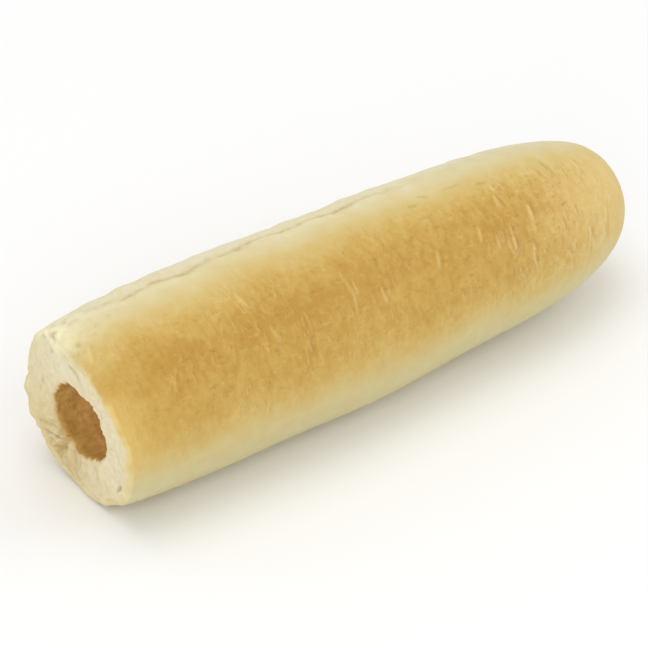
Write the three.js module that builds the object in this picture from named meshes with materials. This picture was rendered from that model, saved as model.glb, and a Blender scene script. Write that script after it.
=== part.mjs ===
// French hot dog bun: a long round roll of white bread, cut across at one end, with a blind hole
// along its middle that takes a sausage. It lies along X with the cut end at -X and the closed tip
// at +X, rests on a flat spot under its belly, and +Z is up. All sizes are in millimetres.

import * as THREE from 'three';
import { mergeVertices } from 'three/addons/utils/BufferGeometryUtils.js';

// Body of the roll
const LENGTH = 170;
const WIDTH = 51;
const ROUND_HEIGHT = 53;
const FLAT_DEPTH = 2;
const WIDEST_SHARE = 0.295;
const TAPER = 0.47;
const TIP_LENGTH = 54;
const TIP_BLUNTNESS = 3.5;
const TIP_LEAN = 1;

// Cut end, pressed in a little by the knife
const PINCH = 0.05;
const PINCH_LENGTH = 8;
const CUT_LEAN_UP = -0.033;
const CUT_LEAN_BACK = -0.03;
const CUT_LEAN_LENGTH = 40;
const RIM_ROUND = 1.4;
const RIM_SHARE = 0.9;
const RIM_TEAR_LENGTH = 3;
const RIM_TEAR_LIFT = 0.5;
const CRUMB_DEPTH = 0.6;
const CRUMB_GRAIN = 3.4;

// Crust rolled over the top of the cut, and the crumb that swells out in front of it
const ROLL_ANGLE = 72;
const ROLL_SPREAD = 34;
const ROLL_DROP = 1.7;
const ROLL_BACK = 1;
const ROLL_LENGTH = 4;
const EDGE_POWER = 4;
const BULGE_ANGLE = 48;
const BULGE_RADIUS = 20;
const BULGE_DEPTH = 1.7;
const BULGE_SPREAD = 13;
const BULGE_LENGTH = 12;

// Hole for the sausage
const HOLE_RADIUS = 11.2;
const HOLE_DEPTH = 140;
const HOLE_END_LENGTH = 8;
const HOLE_FORWARD = 2;
const HOLE_RAISE = 0.4;
const MOUTH_ROUND = 1;
const MOUTH_OVAL = 1;
const MOUTH_OVAL_SHIFT = 0.35;
const MOUTH_TEAR_LENGTH = 18;

// Score along the top, which opens in the oven into a wavy groove with a raised near lip
const SCORE_ANGLE = 106;
const SCORE_DEPTH = 1;
const SCORE_START = 8;
const SCORE_START_LENGTH = 16;
const SCORE_LENGTH = 116;
const SCORE_FADE_LENGTH = 30;
const SCORE_NEAR_WIDTH = 0.9;
const SCORE_FAR_WIDTH = 3.6;
const LIP_SHARE = 0.3;
const LIP_OFFSET = 1.9;
const LIP_WIDTH = 1.4;

// Waves that bend the score sideways, in degrees over millimetres of length
const SCORE_WAVES = [
  { swing: 1.9, length: 16, shift: 2.87 },
  { swing: 1.6, length: 42, shift: -1.4 },
  { swing: 2.1, length: 82, shift: 1.8 },
];

// Torn crumbs that stand into the mouth of the hole, and nicks out of it, by the angle they sit at
const MOUTH_TUFTS = [
  { angle: 84, width: 10, reach: 1.2 },
  { angle: 62, width: 10, reach: -0.8 },
  { angle: 245, width: 10, reach: 1.3 },
];

// Slow swells of the crust, in millimetres
const CRUST_WAVES = [
  { turns: 1, length: 84, height: 0.33, shift: 2.8 },
  { turns: 2, length: 61, height: 0.1, shift: 0.4 },
  { turns: 3, length: -43, height: 0.1, shift: 2.6 },
];

// Torn crumbs that stand out from the rim, and dips in it, by the angle they sit at
const RIM_TUFTS = [
  { angle: 165, width: 20, reach: -0.7 },
  { angle: 189, width: 6, reach: 1.4 },
  { angle: 205, width: 8, reach: 1.6 },
  { angle: 228, width: 14, reach: 0.6 },
  { angle: 260, width: 16, reach: -0.35 },
  { angle: 304, width: 9, reach: -1.2 },
  { angle: 327, width: 8, reach: 0.5 },
  { angle: 346, width: 13, reach: 0.8 },
];

// Fineness of the surface
const COLUMNS = 76;
const CUT_CROWDING = 0.15;
const SCORE_CROWDING = 0.62;
const CROWDING_START = 2;
const CROWDING_END = 14;
const HOLE_END_ROWS = 4;
const HOLE_ROWS = 7;
const MOUTH_ROWS = 3;
const FACE_ROWS = 6;
const RIM_ROWS = 3;
const CRUST_ROWS = 30;
const TIP_ROWS = 11;

// Colour of the baked crust
const CRUST_COLOUR = 0xd2a860;
const CRUST_ROUGHNESS = 0.62;

const FULL_TURN = 2 * Math.PI;
const QUARTER_TURN = Math.PI / 2;
const DEGREE = Math.PI / 180;
const HALF_WIDTH = WIDTH / 2;
const AXIS_HEIGHT = ROUND_HEIGHT / 2 - FLAT_DEPTH;
const TIP_START = LENGTH - TIP_LENGTH;

const clampShare = (value) => Math.min(1, Math.max(0, value));
const bell = (value) => Math.exp(-value * value);

function easeBetween(low, high, value) {
  const share = clampShare((value - low) / (high - low));
  return share * share * (3 - 2 * share);
}

// Angle from one direction to another, between half a turn back and half a turn forward.
function turnFrom(middle, angle) {
  return Math.atan2(Math.sin(angle - middle), Math.cos(angle - middle));
}

// A repeatable value between 0 and 1 for a cell of a grid.
function cellValue(column, row) {
  const [columnStep, rowStep, spread] = [12.9898, 78.233, 43758.5453];
  const mixed = Math.sin(column * columnStep + row * rowStep) * spread;
  return mixed - Math.floor(mixed);
}

// Soft bumps over a plane, between 0 and 1, about one cell wide.
function softBumps(across, up) {
  const column = Math.floor(across);
  const row = Math.floor(up);
  const shareAcross = easeBetween(0, 1, across - column);
  const shareUp = easeBetween(0, 1, up - row);
  const below = THREE.MathUtils.lerp(cellValue(column, row), cellValue(column + 1, row), shareAcross);
  const above = THREE.MathUtils.lerp(
    cellValue(column, row + 1), cellValue(column + 1, row + 1), shareAcross);
  return THREE.MathUtils.lerp(below, above, shareUp);
}

// How far along the domed tip a distance from the cut lies.
function tipShare(distance) {
  return clampShare((distance - TIP_START) / TIP_LENGTH);
}

// Radius of the crust at a distance from the cut, before the roll is made uneven.
function crustRadius(distance) {
  const taper = TAPER * (distance / LENGTH - WIDEST_SHARE) ** 2;
  const pinch = PINCH * Math.exp(-distance / PINCH_LENGTH);
  const dome = (1 - tipShare(distance) ** TIP_BLUNTNESS) ** (1 / TIP_BLUNTNESS);
  return HALF_WIDTH * (1 - taper - pinch) * dome;
}

// Angle of the score round the girth, from the near side over the top.
function scoreAngle(distance) {
  let angle = SCORE_ANGLE;
  for (const wave of SCORE_WAVES) {
    angle += wave.swing * Math.sin(FULL_TURN * distance / wave.length + wave.shift);
  }
  return angle * DEGREE;
}

// Outline turned about the long axis: from the end of the hole out to the cut, over the rim and
// along the crust to the tip.
function rollOutline() {
  const outline = [];
  for (let i = 0; i <= HOLE_END_ROWS; i += 1) {
    const angle = QUARTER_TURN * i / HOLE_END_ROWS;
    const distance = HOLE_DEPTH - HOLE_END_LENGTH * (1 - Math.cos(angle));
    outline.push(new THREE.Vector2(HOLE_RADIUS * Math.sin(angle), distance));
  }
  for (let i = 1; i <= HOLE_ROWS; i += 1) {
    const share = (1 - i / HOLE_ROWS) ** 2;
    const distance = MOUTH_ROUND + (HOLE_DEPTH - HOLE_END_LENGTH - MOUTH_ROUND) * share;
    outline.push(new THREE.Vector2(HOLE_RADIUS, distance));
  }
  for (let i = 1; i <= MOUTH_ROWS; i += 1) {
    const angle = QUARTER_TURN * i / MOUTH_ROWS;
    const radius = HOLE_RADIUS + MOUTH_ROUND * (1 - Math.cos(angle));
    outline.push(new THREE.Vector2(radius, MOUTH_ROUND * (1 - Math.sin(angle))));
  }
  const faceStart = HOLE_RADIUS + MOUTH_ROUND;
  const faceEnd = crustRadius(0) - RIM_ROUND;
  for (let i = 1; i <= FACE_ROWS; i += 1) {
    const radius = THREE.MathUtils.lerp(faceStart, faceEnd, i / FACE_ROWS);
    outline.push(new THREE.Vector2(radius, 0));
  }
  for (let i = 1; i <= RIM_ROWS; i += 1) {
    const angle = QUARTER_TURN * i / RIM_ROWS;
    const distance = RIM_ROUND * (1 - Math.cos(angle));
    const radius = crustRadius(distance) - RIM_ROUND * (1 - Math.sin(angle));
    outline.push(new THREE.Vector2(radius, distance));
  }
  for (let i = 1; i <= CRUST_ROWS; i += 1) {
    const distance = THREE.MathUtils.lerp(RIM_ROUND, TIP_START, i / CRUST_ROWS);
    outline.push(new THREE.Vector2(crustRadius(distance), distance));
  }
  for (let i = 1; i <= TIP_ROWS; i += 1) {
    const distance = TIP_START + TIP_LENGTH * Math.sin(QUARTER_TURN * i / TIP_ROWS);
    outline.push(new THREE.Vector2(crustRadius(distance), distance));
  }
  return outline;
}

// Share of the way from the wall of the hole to the crust.
function wallShare(distance, radius) {
  if (distance > HOLE_DEPTH) {
    return 1;
  }
  return clampShare((radius - HOLE_RADIUS) / (crustRadius(distance) - HOLE_RADIUS));
}

// How open the score is: it starts behind the cut and fades out along the roll.
function scoreStrength(distance) {
  const opening = easeBetween(SCORE_START, SCORE_START + SCORE_START_LENGTH, distance);
  const fading = easeBetween(SCORE_LENGTH - SCORE_FADE_LENGTH, SCORE_LENGTH, distance);
  return opening * (1 - fading);
}

// Height of the crust over the plain roll: slow swells and the score with its lip.
function crustRelief(distance, radius, angle) {
  let height = 0;
  for (const wave of CRUST_WAVES) {
    const phase = wave.turns * angle + FULL_TURN * distance / wave.length + wave.shift;
    height += wave.height * (1 - tipShare(distance)) * Math.sin(phase);
  }
  const aside = turnFrom(scoreAngle(distance), angle) * radius;
  const lip = LIP_SHARE * bell((aside + LIP_OFFSET) / LIP_WIDTH);
  const hollow = bell(aside / (aside < 0 ? SCORE_NEAR_WIDTH : SCORE_FAR_WIDTH));
  return height + SCORE_DEPTH * scoreStrength(distance) * (lip - hollow);
}

// How far crumbs reach at an angle.
function tuftReach(tufts, angle) {
  let reach = 0;
  for (const tuft of tufts) {
    reach += tuft.reach * bell(turnFrom(tuft.angle * DEGREE, angle) / (tuft.width * DEGREE));
  }
  return reach;
}

// How far the crust is rolled over the cut.
function rollReach(distance, angle) {
  const aside = turnFrom(ROLL_ANGLE * DEGREE, angle) / (ROLL_SPREAD * DEGREE);
  return bell(aside) * Math.exp(-distance / ROLL_LENGTH);
}

// How far the crumb swells out of the cut.
function bulgeReach(distance, back, height) {
  const across = back + BULGE_RADIUS * Math.cos(BULGE_ANGLE * DEGREE);
  const up = height - AXIS_HEIGHT - BULGE_RADIUS * Math.sin(BULGE_ANGLE * DEGREE);
  return BULGE_DEPTH * bell(Math.hypot(across, up) / BULGE_SPREAD) * Math.exp(-distance / BULGE_LENGTH);
}

// Width that the torn mouth adds to the round hole at an angle.
function mouthRelief(distance, angle) {
  const height = MOUTH_OVAL * Math.sin(2 * angle + MOUTH_OVAL_SHIFT) - tuftReach(MOUTH_TUFTS, angle);
  return height * Math.exp(-distance / MOUTH_TEAR_LENGTH);
}

// On the crust, away from the cut, columns crowd together along the score and follow its bends.
function columnAngle(angle, distance, share) {
  const away = share * easeBetween(CROWDING_START, CROWDING_END, distance);
  const aside = turnFrom(SCORE_ANGLE * DEGREE, angle);
  const bend = (scoreAngle(distance) - SCORE_ANGLE * DEGREE) * bell(aside);
  return angle - THREE.MathUtils.lerp(CUT_CROWDING, SCORE_CROWDING, away) * Math.sin(aside) + away * bend;
}

// Moves one point of the plain turned roll to where it lies on the baked and cut bun.
function settle(point) {
  const distance = point.y;
  const plainRadius = Math.hypot(point.x, point.z);
  const share = wallShare(distance, plainRadius);
  const angle = columnAngle(Math.atan2(point.z, point.x), distance, share);
  const onCrust = easeBetween(RIM_SHARE, 1, share);
  const edge = share ** EDGE_POWER;
  const nearCut = Math.exp(-distance / RIM_TEAR_LENGTH);
  const torn = tuftReach(RIM_TUFTS, angle) * nearCut;
  const roll = rollReach(distance, angle);

  let radius = plainRadius;
  radius += onCrust * (crustRelief(distance, plainRadius, angle) + RIM_TEAR_LIFT * torn);
  radius += (1 - share) * mouthRelief(distance, angle) - edge * ROLL_DROP * roll;

  const tall = THREE.MathUtils.lerp(1, ROUND_HEIGHT / WIDTH, share);
  const back = -radius * Math.cos(angle)
    - (1 - share) * HOLE_FORWARD + share * TIP_LEAN * tipShare(distance) ** 2;
  const round = AXIS_HEIGHT + tall * radius * Math.sin(angle) + (1 - share) * HOLE_RAISE;
  const height = Math.max(0, round);

  const lean = CUT_LEAN_UP * (height - ROUND_HEIGHT / 2) + CUT_LEAN_BACK * back;
  const bumps = softBumps(back / CRUMB_GRAIN, height / CRUMB_GRAIN);
  let along = distance + lean * clampShare(1 - distance / CUT_LEAN_LENGTH);
  along += edge * (ROLL_BACK * roll - torn) - bulgeReach(distance, back, height);
  along += CRUMB_DEPTH * bumps * nearCut * (1 - onCrust);
  return new THREE.Vector3(along, back, height);
}

// The turned roll, made uneven and set with the middle of its underside on the origin.
function bunGeometry() {
  const turned = new THREE.LatheGeometry(rollOutline(), COLUMNS);
  turned.deleteAttribute('normal');
  turned.deleteAttribute('uv');
  const geometry = mergeVertices(turned);
  const positions = geometry.getAttribute('position');
  const point = new THREE.Vector3();
  for (let i = 0; i < positions.count; i += 1) {
    const settled = settle(point.fromBufferAttribute(positions, i));
    positions.setXYZ(i, settled.x, settled.y, settled.z);
  }
  geometry.computeBoundingBox();
  const middle = geometry.boundingBox.getCenter(new THREE.Vector3());
  geometry.translate(-middle.x, -middle.y, -geometry.boundingBox.min.z);
  geometry.computeVertexNormals();
  return geometry;
}

const crust = new THREE.MeshStandardMaterial({
  name: 'crust',
  color: CRUST_COLOUR,
  roughness: CRUST_ROUGHNESS,
  metalness: 0,
});

const bun = new THREE.Mesh(bunGeometry(), crust);
bun.name = 'bun';

const part = new THREE.Group();
part.name = 'hot_dog_bun';
part.add(bun);

export default part;
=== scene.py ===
"""French hot dog bun on a pale studio floor, seen from the photograph's side."""

import math

import bpy
import numpy as np
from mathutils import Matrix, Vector


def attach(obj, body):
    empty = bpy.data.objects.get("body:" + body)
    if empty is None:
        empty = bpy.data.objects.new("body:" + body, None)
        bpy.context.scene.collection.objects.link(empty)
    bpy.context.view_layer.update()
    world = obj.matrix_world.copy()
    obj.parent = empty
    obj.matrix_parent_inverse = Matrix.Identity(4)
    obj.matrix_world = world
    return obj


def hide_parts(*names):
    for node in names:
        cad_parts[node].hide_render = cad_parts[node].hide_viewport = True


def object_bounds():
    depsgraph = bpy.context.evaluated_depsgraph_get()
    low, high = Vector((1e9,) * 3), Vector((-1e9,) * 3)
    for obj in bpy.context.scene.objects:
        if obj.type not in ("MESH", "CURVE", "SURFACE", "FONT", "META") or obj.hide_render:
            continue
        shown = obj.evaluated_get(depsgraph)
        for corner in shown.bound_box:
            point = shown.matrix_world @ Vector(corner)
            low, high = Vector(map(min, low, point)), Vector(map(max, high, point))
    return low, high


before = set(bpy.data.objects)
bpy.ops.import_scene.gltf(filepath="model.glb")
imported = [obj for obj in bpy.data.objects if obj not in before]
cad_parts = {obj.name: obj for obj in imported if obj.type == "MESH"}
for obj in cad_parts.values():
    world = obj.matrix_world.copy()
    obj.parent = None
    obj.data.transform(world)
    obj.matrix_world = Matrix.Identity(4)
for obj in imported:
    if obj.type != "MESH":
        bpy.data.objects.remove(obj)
cad_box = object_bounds()

# The form is worked out in millimetres, as in the part's own source, and scaled once at the end.
# Angles run round the girth from the near side over the top, distances from the cut end.
# The share of a point runs from 0 on the wall of the hole to 1 on the crust.
MM = 0.001
FULL_TURN = 2 * math.pi

# Body of the roll
LENGTH = 170.0
WIDTH = 51.0
ROUND_HEIGHT = 53.0
FLAT_DEPTH = 2.0
WIDEST_SHARE = 0.295
TAPER = 0.47
TIP_LENGTH = 54.0
TIP_BLUNTNESS = 3.5
TIP_LEAN = 1.0
AXIS_HEIGHT = ROUND_HEIGHT / 2 - FLAT_DEPTH
TIP_START = LENGTH - TIP_LENGTH

# Cut end, pressed in a little by the knife, with the crust rolled over its top
PINCH = 0.05
PINCH_LENGTH = 8.0
CUT_LEAN_UP = -0.033
CUT_LEAN_BACK = -0.03
CUT_LEAN_LENGTH = 40.0
RIM_ROUND = 1.4
RIM_TEAR_LENGTH = 3.0
RIM_POWER = 4
ROLL_ANGLE = math.radians(72.0)
ROLL_SPREAD = math.radians(34.0)
ROLL_DROP = 1.7
ROLL_BACK = 1.0
ROLL_LENGTH = 4.0
BULGE_ANGLE = math.radians(48.0)
BULGE_RADIUS = 20.0
BULGE_DEPTH = 1.7
BULGE_SPREAD = 13.0
BULGE_LENGTH = 12.0
CRUMB_DEPTH = 0.6
CRUMB_GRAIN = 3.4
SOLID_CRUST = (0.9, 1.0)

# Hole for the sausage
HOLE_RADIUS = 11.2
HOLE_DEPTH = 140.0
HOLE_END_LENGTH = 8.0
HOLE_FORWARD = 2.0
HOLE_RAISE = 0.4
MOUTH_ROUND = 1.0
MOUTH_OVAL = 1.0
MOUTH_OVAL_SHIFT = 0.35
MOUTH_TEAR_LENGTH = 18.0
MOUTH_POWER = 6
THINNEST_WALL = 0.1

# Score along the top: a wavy groove behind a raised near lip
SCORE_ANGLE = math.radians(106.0)
SCORE_DEPTH = 1.0
SCORE_START = 8.0
SCORE_START_LENGTH = 16.0
SCORE_LENGTH = 116.0
SCORE_FADE_LENGTH = 30.0
SCORE_NEAR_WIDTH = 0.9
SCORE_FAR_WIDTH = 3.6
LIP_SHARE = 0.3
LIP_OFFSET = 1.9
LIP_WIDTH = 1.4

# Swing in degrees, length, shift in radians
SCORE_WAVES = [(1.9, 16.0, 2.87), (1.6, 42.0, -1.4), (2.1, 82.0, 1.8), (0.4, 5.7, 1.0)]
# Turns round the girth, length, height, shift in radians
CRUST_WAVES = [(1, 84.0, 0.33, 2.8), (2, 61.0, 0.1, 0.4), (3, -43.0, 0.1, 2.6)]
# Torn crumbs and nicks: angle and width in degrees, reach
MOUTH_TUFTS = [
    (100, 12, 0.8),
    (76, 9, 1.2),
    (57, 10, -1.2),
    (38, 14, -0.5),
    (242, 9, 0.8),
    (258, 8, -0.5),
]
RIM_TUFTS = [
    (165, 20, -0.7),
    (189, 6, 1.4),
    (205, 8, 1.6),
    (228, 14, 0.6),
    (260, 16, -0.35),
    (304, 9, -1.2),
    (327, 8, 0.5),
    (346, 13, 0.8),
]
# Raggedness of the edges: height, height added at a place, that place (degrees, radians), reach, cell, seed
MOUTH_RAGS = (0.5, 0.35, (40, 0.7), 2.5, 1.0, 3)
RIM_RAGS = (0.25, 0.6, (225, 1.1), 1.2, 1.7, 5)

# Small lines in the crust: distance and angle in degrees of both ends, width, depth
CRUST_LINES = [
    (142.7, 86, 144.2, 66, 0.45, 0.4),
    (99.8, 83, 102.5, 82, 0.45, 0.3),
    (104.5, 88.5, 107.0, 84.5, 0.45, 0.3),
    (120.5, 80.5, 124.2, 78.6, 0.45, 0.3),
    (100.0, 71.6, 104.0, 70.8, 0.4, 0.2),
    (112.0, 86, 117.0, 85, 0.45, 0.2),
]
# Raised strands in the crust: distance and angle in degrees of both ends, width, height
CRUST_STRANDS = [
    (80.1, 41, 80.8, 23, 0.5, 0.2),
    (71.0, 59, 71.1, 33, 0.45, 0.14),
    (72.6, 51, 72.8, 44, 0.45, 0.16),
    (42.4, 71, 43.6, 61.5, 0.5, 0.2),
    (46.4, 47, 47.5, 38, 0.6, 0.16),
    (33.9, 62.5, 36.6, 64, 0.4, 0.14),
    (113.5, 52, 113.0, 44, 0.5, 0.2),
    (118.2, 45, 117.3, 33, 0.5, 0.18),
    (130.8, 53, 129.4, 36, 0.5, 0.22),
    (136.6, 36, 134.8, 21, 0.45, 0.18),
    (122.8, 37, 121.4, 23, 0.45, 0.16),
    (142.2, 36, 141.6, 25, 0.45, 0.16),
    (148.0, 21, 148.0, 8.5, 0.45, 0.16),
    (99.5, 49, 98.5, 39, 0.5, 0.16),
    (3.2, 82, 1.8, 70, 0.6, 0.2),
]
# Tears in the cut: back and height of both ends, width, depth
CUT_TEARS = [
    (15.5, 11.6, 6.7, 14.2, 0.4, 0.7),
    (14.5, 14.4, 7.6, 16.4, 0.4, 0.5),
    (12.0, 8.2, 6.4, 11.2, 0.5, 0.6),
    (3.0, 13.4, 1.6, 7.0, 0.5, 0.5),
    (2.8, 15.0, -2.0, 15.8, 0.6, 0.7),
    (2.8, 7.6, 1.6, 3.8, 0.5, 0.6),
    (-1.0, 14.0, 0.8, 8.0, 0.5, 0.4),
    (-6.4, 14.6, -7.5, 10.0, 0.5, 0.4),
    (-16.5, 12.4, -18.6, 15.4, 0.6, 1.0),
    (-10.3, 4.6, -15.5, 8.0, 0.6, 0.6),
    (0.6, 41.3, -6.1, 40.0, 0.8, 0.8),
    (9.5, 41.6, 9.6, 39.8, 0.7, 0.5),
    (14.0, 30.0, 16.0, 24.0, 0.6, 0.35),
    (-18.5, 27.0, -18.0, 21.5, 0.5, 0.35),
]
# Strands of crumb that stand out of the cut: back and height of both ends, width, height
CUT_STRANDS = [
    (14.6, 12.9, 5.2, 15.3, 0.7, 0.7),
    (15.2, 9.9, 5.0, 14.4, 0.7, 0.6),
    (4.7, 15.0, 4.6, 7.6, 0.8, 0.7),
    (2.4, 14.0, -2.3, 12.4, 0.7, 0.4),
]
LINE_END_WIDTH = 0.35

# Layers of unevenness: height, cell, seed
CRUST_FOLDS = [(1.0, (2.0, 9.0, 9.0), 11), (0.6, (1.4, 4.0, 4.0), 14)]
CRUST_GRAIN = [(0.03, 1.6, 13)]
FOLD_PATCHES = [(1.0, 15.0, 12)]
STRAND_WANDER = [(0.5, 4.5, 71)]
ROLLED_LUMPS = [(1.0, 2.2, 66), (0.6, 1.0, 67)]
STRIP_LUMPS = [(0.24, 4.5, 72), (0.1, 2.0, 73)]
SLASH_SWELLS = [(2.4, 11.0, 74)]
SLASH_EDGE = [(0.9, 2.6, 61), (0.5, 1.2, 62)]
SLASH_CRUMB = [(0.16, 1.3, 63), (0.1, 0.7, 64)]
CUT_CRUMB = [(0.12, 2.6, 21), (0.08, 1.2, 22), (0.03, 0.6, 24)]
HOLE_CRUMB = [(0.3, (3.0, 1.8, 1.8), 31), (0.15, 0.9, 32)]
BROWNING_WANDER = [(3.0, 15.0, 43)]
BAKE_MOTTLE = [(0.06, 11.0, 41), (0.04, 4.0, 42)]
LINE_DASHES = [(0.4, 3.0, 65), (0.45, 1.1, 75)]
LINE_WANDER = [(0.5, 2.2, 70)]
TOAST_EDGE = [(0.4, 1.2, 52)]

# Fine relief of the crust: shares where it starts, and folds that grow along the roll (height, start, end)
FINE_CRUST = (0.93, 1.0)
FOLD_STEPS = [(0.04, 20, 60), (0.05, 85, 120)]
FOLD_EDGE = (-0.4, 0.5)
DENT_COUNT = 140
DENT_RADII = (0.6, 1.7)
DENT_DEPTHS = (0.04, 0.16)
DRAW_SEED = 7
WHOLE_CRUST = 0.99
# Lumps beyond the score: start, full, last and end of the strip, aside from the score and along the roll
STRIP_ASIDE = (1.5, 5, 14, 24)
STRIP_ALONG = (6, 16, 120, 150)
# Crust rolled over the top of the cut
ROLLED_PLACE = (106, 0.6)
ROLLED_LENGTH = 9
ROLLED_FROM = (0.7, 0.95)
ROLLED_HEIGHT = 0.5
# Torn crumb laid open in the score
SLASH_REACH = 5.0
SLASH_NEAR = (-1.3, -0.4)
SLASH_SOFTNESS = 0.35
SLASH_OPENS = (0.05, 0.3)
SLASH_DEPTH = 0.22
# Torn crumb of the cut: places as angle in degrees and spread in radians
TORN_PLACE = (228, 0.8)
TORN_MORE = 2.0
STRAND_PLACE = (229, 0.42)
STRAND_DEGREES = 3.6
STRAND_SHARE = 1.2
STRAND_SEED = 23
STRAND_HEIGHT = 0.7
WHOLE_CRUMB = 0.9
FLAT_CUT = 0.01
PORE_COUNT = 170
PORE_RADIUS = 0.3
PORE_SPREAD = 0.6
PORE_POWER = 3
PORE_DEPTH_SHARE = 0.45
# Height over the floor in which the fine relief grows to its full size
FLOOR_EASE = 1.5

# How brown the crust is by angle in degrees, mirrored on the far side of the pale top
BROWNING = [
    (-62, 0.25),
    (-34, 0.2),
    (-20, 0.26),
    (-10, 0.34),
    (0, 0.53),
    (10, 0.71),
    (20, 0.84),
    (35, 0.88),
    (48, 0.97),
    (60, 0.88),
    (70, 0.72),
    (80, 0.5),
    (90, 0.27),
    (100, 0.12),
    (110, 0.04),
    (118, 0.0),
]
PALE_TOP_ANGLE = 118.0
# Browner past the end of the score, paler towards the tip and at the cut
SCORE_END_BAKE = 0.05
SCORE_END_STRETCH = (95, 125)
SCORE_END_PLACE = (110, 0.3)
TIP_PALENESS = 0.7
TIP_PALE_STRETCH = (125, 166)
TIP_PALE_FROM = 0.32
TIP_BAKE = 0.42
TIP_RADII = (21, 7)
CUT_PALENESS = 0.2
CUT_PALE_LENGTH = 9
RIM_PALENESS = 0.8
RIM_PALE_LENGTH = 2.5
RIM_PALE_PLACE = (195, 0.8)

# Shade in the hollows: how dark each kind is, and where the line of the score lies behind its lip
SHADED_CRUST = (0.8, 0.9)
LINE_SHADE = 0.6
LINE_ASIDE = 1.8
LINE_WIDTHS = (0.5, 1.0)
CRUST_LINE_SHADE = 2.0
STRAND_SHADE = 2.0
STRAND_SHADE_ASIDE = 0.9
ROLLED_SHADE = 1.3
ROLLED_SHADE_FROM = 0.25
CUT_SHADE_LENGTH = 1
TEAR_SHADE = 0.8
STRAND_GAP_SHADE = 0.8
LOW_CRUMB_SHADE = 0.4
LOW_CRUMB_PLACE = (242, 0.6)
SLASH_SHADE = 0.1

# Edge of the skin at the cut: how far it reaches over the crumb, its places and its softness
SKIN_REACH = 0.7
SKIN_ROLLED = 1.7
SKIN_ROLLED_PLACE = (86, 0.8)
SKIN_TORN = 3.0
SKIN_TORN_PLACE = (101, 0.32)
SKIN_RAGS = (0.75, 2.5, 51)
SKIN_LINE_SHIFT = 0.4
SKIN_SOFTNESS = 0.8
SKIN_SOFTER = 1.0
SKIN_SOFTER_PLACE = (98, 0.6)
# Where the bright line of the skin is missing: share that is missing, place
SKIN_GAPS = [(0.85, (116, 0.5)), (0.6, (195, 0.6))]

# Other colours, and painted light and shade, at the cut, in the hole, on the top and on the tip
SLASH_CRUMB_SHARE = 0.4
MOUTH_HALF = 0.5
MOUTH_EDGE = (-0.2, 0.6)
TOAST_SOFTNESS = 0.5
DEEP_WAY = (2, 9)
# Painted shade outside the mouth, in the colour of the toasted hole: share and reach all round, and at a
# place
OUTER_MOUTH_SHADE = (0.2, 1.4)
OUTER_MOUTH_SHADE_MORE = (0.3, 2.6)
OUTER_MOUTH_SHADE_PLACE = (200, 0.6)
# Painted light on the flanks at the cut: reach along the roll, browning and flank angle where it grows
CUT_LIGHT_LENGTH = 4.5
CUT_LIGHT_BAKE = (0.2, 0.6)
CUT_LIGHT_FLANK = (60, 25)
# Pale rolled top of the cut, with painted highlight on its lumps
CREAM_LENGTH = 7
CREAM_PLACE = (112, 0.39)
CREAM_SHARE = 0.7
CREAM_LUMP_HIGHLIGHT = 0.9
CREAM_MOST = 1.2
WARM_PLACE = (222, 1.0)
WARM_STRANDS = 0.7
# Painted shade on the belly: flank angles where it starts and where it is full
BELLY_FLANK = (12, -25)
FAR_TOP_COOLNESS = 0.5
FAR_TOP_STRETCH = (105, 150)
FAR_TOP_PLACE = (105, 0.35)
TIP_GLOW_STRETCH = (118, 160)
TIP_GLOW_PLACE = (45, 0.65)
TIP_GLOW_MIDDLE = 0.35
# Strength of the painted highlight on the raised strands
STRAND_HIGHLIGHT = 5
# Wrinkles: share at the cut, and its changes along the roll (change, start, end)
WRINKLE_AT_CUT = 0.6
WRINKLE_STEPS = [(0.15, 8, 25), (0.45, 108, 138), (-0.65, 150, 167)]
WRINKLE_BAKE = (0.28, 0.7)

# Mesh: columns and rows of each stretch, and where the finer stretches end
END_COLUMNS = 48
HOLE_COLUMNS = 96
CRUST_COLUMNS = 192
CUT_COLUMNS = 384
HOLE_END_ROWS = 8
HOLE_ROWS = 34
FRONT_ROWS = 48
MOUTH_ROWS = 6
FACE_ROWS = 40
RIM_ROWS = 8
NEAR_ROWS = 13
CRUST_ROWS = 204
TIP_ROWS = 104
FRONT_END = 26
NEAR_END = 7
# First row, end row and columns of each stretch of the tip
TIP_STRETCHES = [(0, 72, CRUST_COLUMNS), (72, 94, HOLE_COLUMNS), (94, 103, END_COLUMNS), (103, TIP_ROWS, 1)]
# How much the columns crowd along the score: at the cut, on the crust, and distances of the change
CROWDING = (0.15, 0.62)
CROWDING_STRETCH = (2, 14)

# Flat map of the surface: length of its side, girths on it, and where each zone starts
MAP_SIDE = 250.0
MAP_GIRTHS = {"crust": 160.0, "hole": 70.0}
MAP_CORNERS = {"crust": (0.01, 0.01), "hole": (0.01, 0.7), "face": (0.88, 0.16)}

# Colours of the bread on a screen, 0 to 255, by how brown or how grainy it is
CRUST_COLOURS = [
    (0.0, (226, 218, 183)),
    (0.12, (221, 207, 161)),
    (0.25, (216, 198, 143)),
    (0.4, (212, 187, 121)),
    (0.55, (208, 178, 105)),
    (0.7, (202, 167, 88)),
    (0.85, (196, 157, 76)),
    (1.0, (187, 144, 62)),
]
CRUMB_COLOURS = [(0.3, (222, 207, 167)), (0.5, (230, 217, 181)), (0.7, (236, 225, 193))]
TOAST_COLOURS = [(0.3, (219, 172, 96)), (0.5, (235, 189, 114)), (0.7, (245, 203, 131))]
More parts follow.
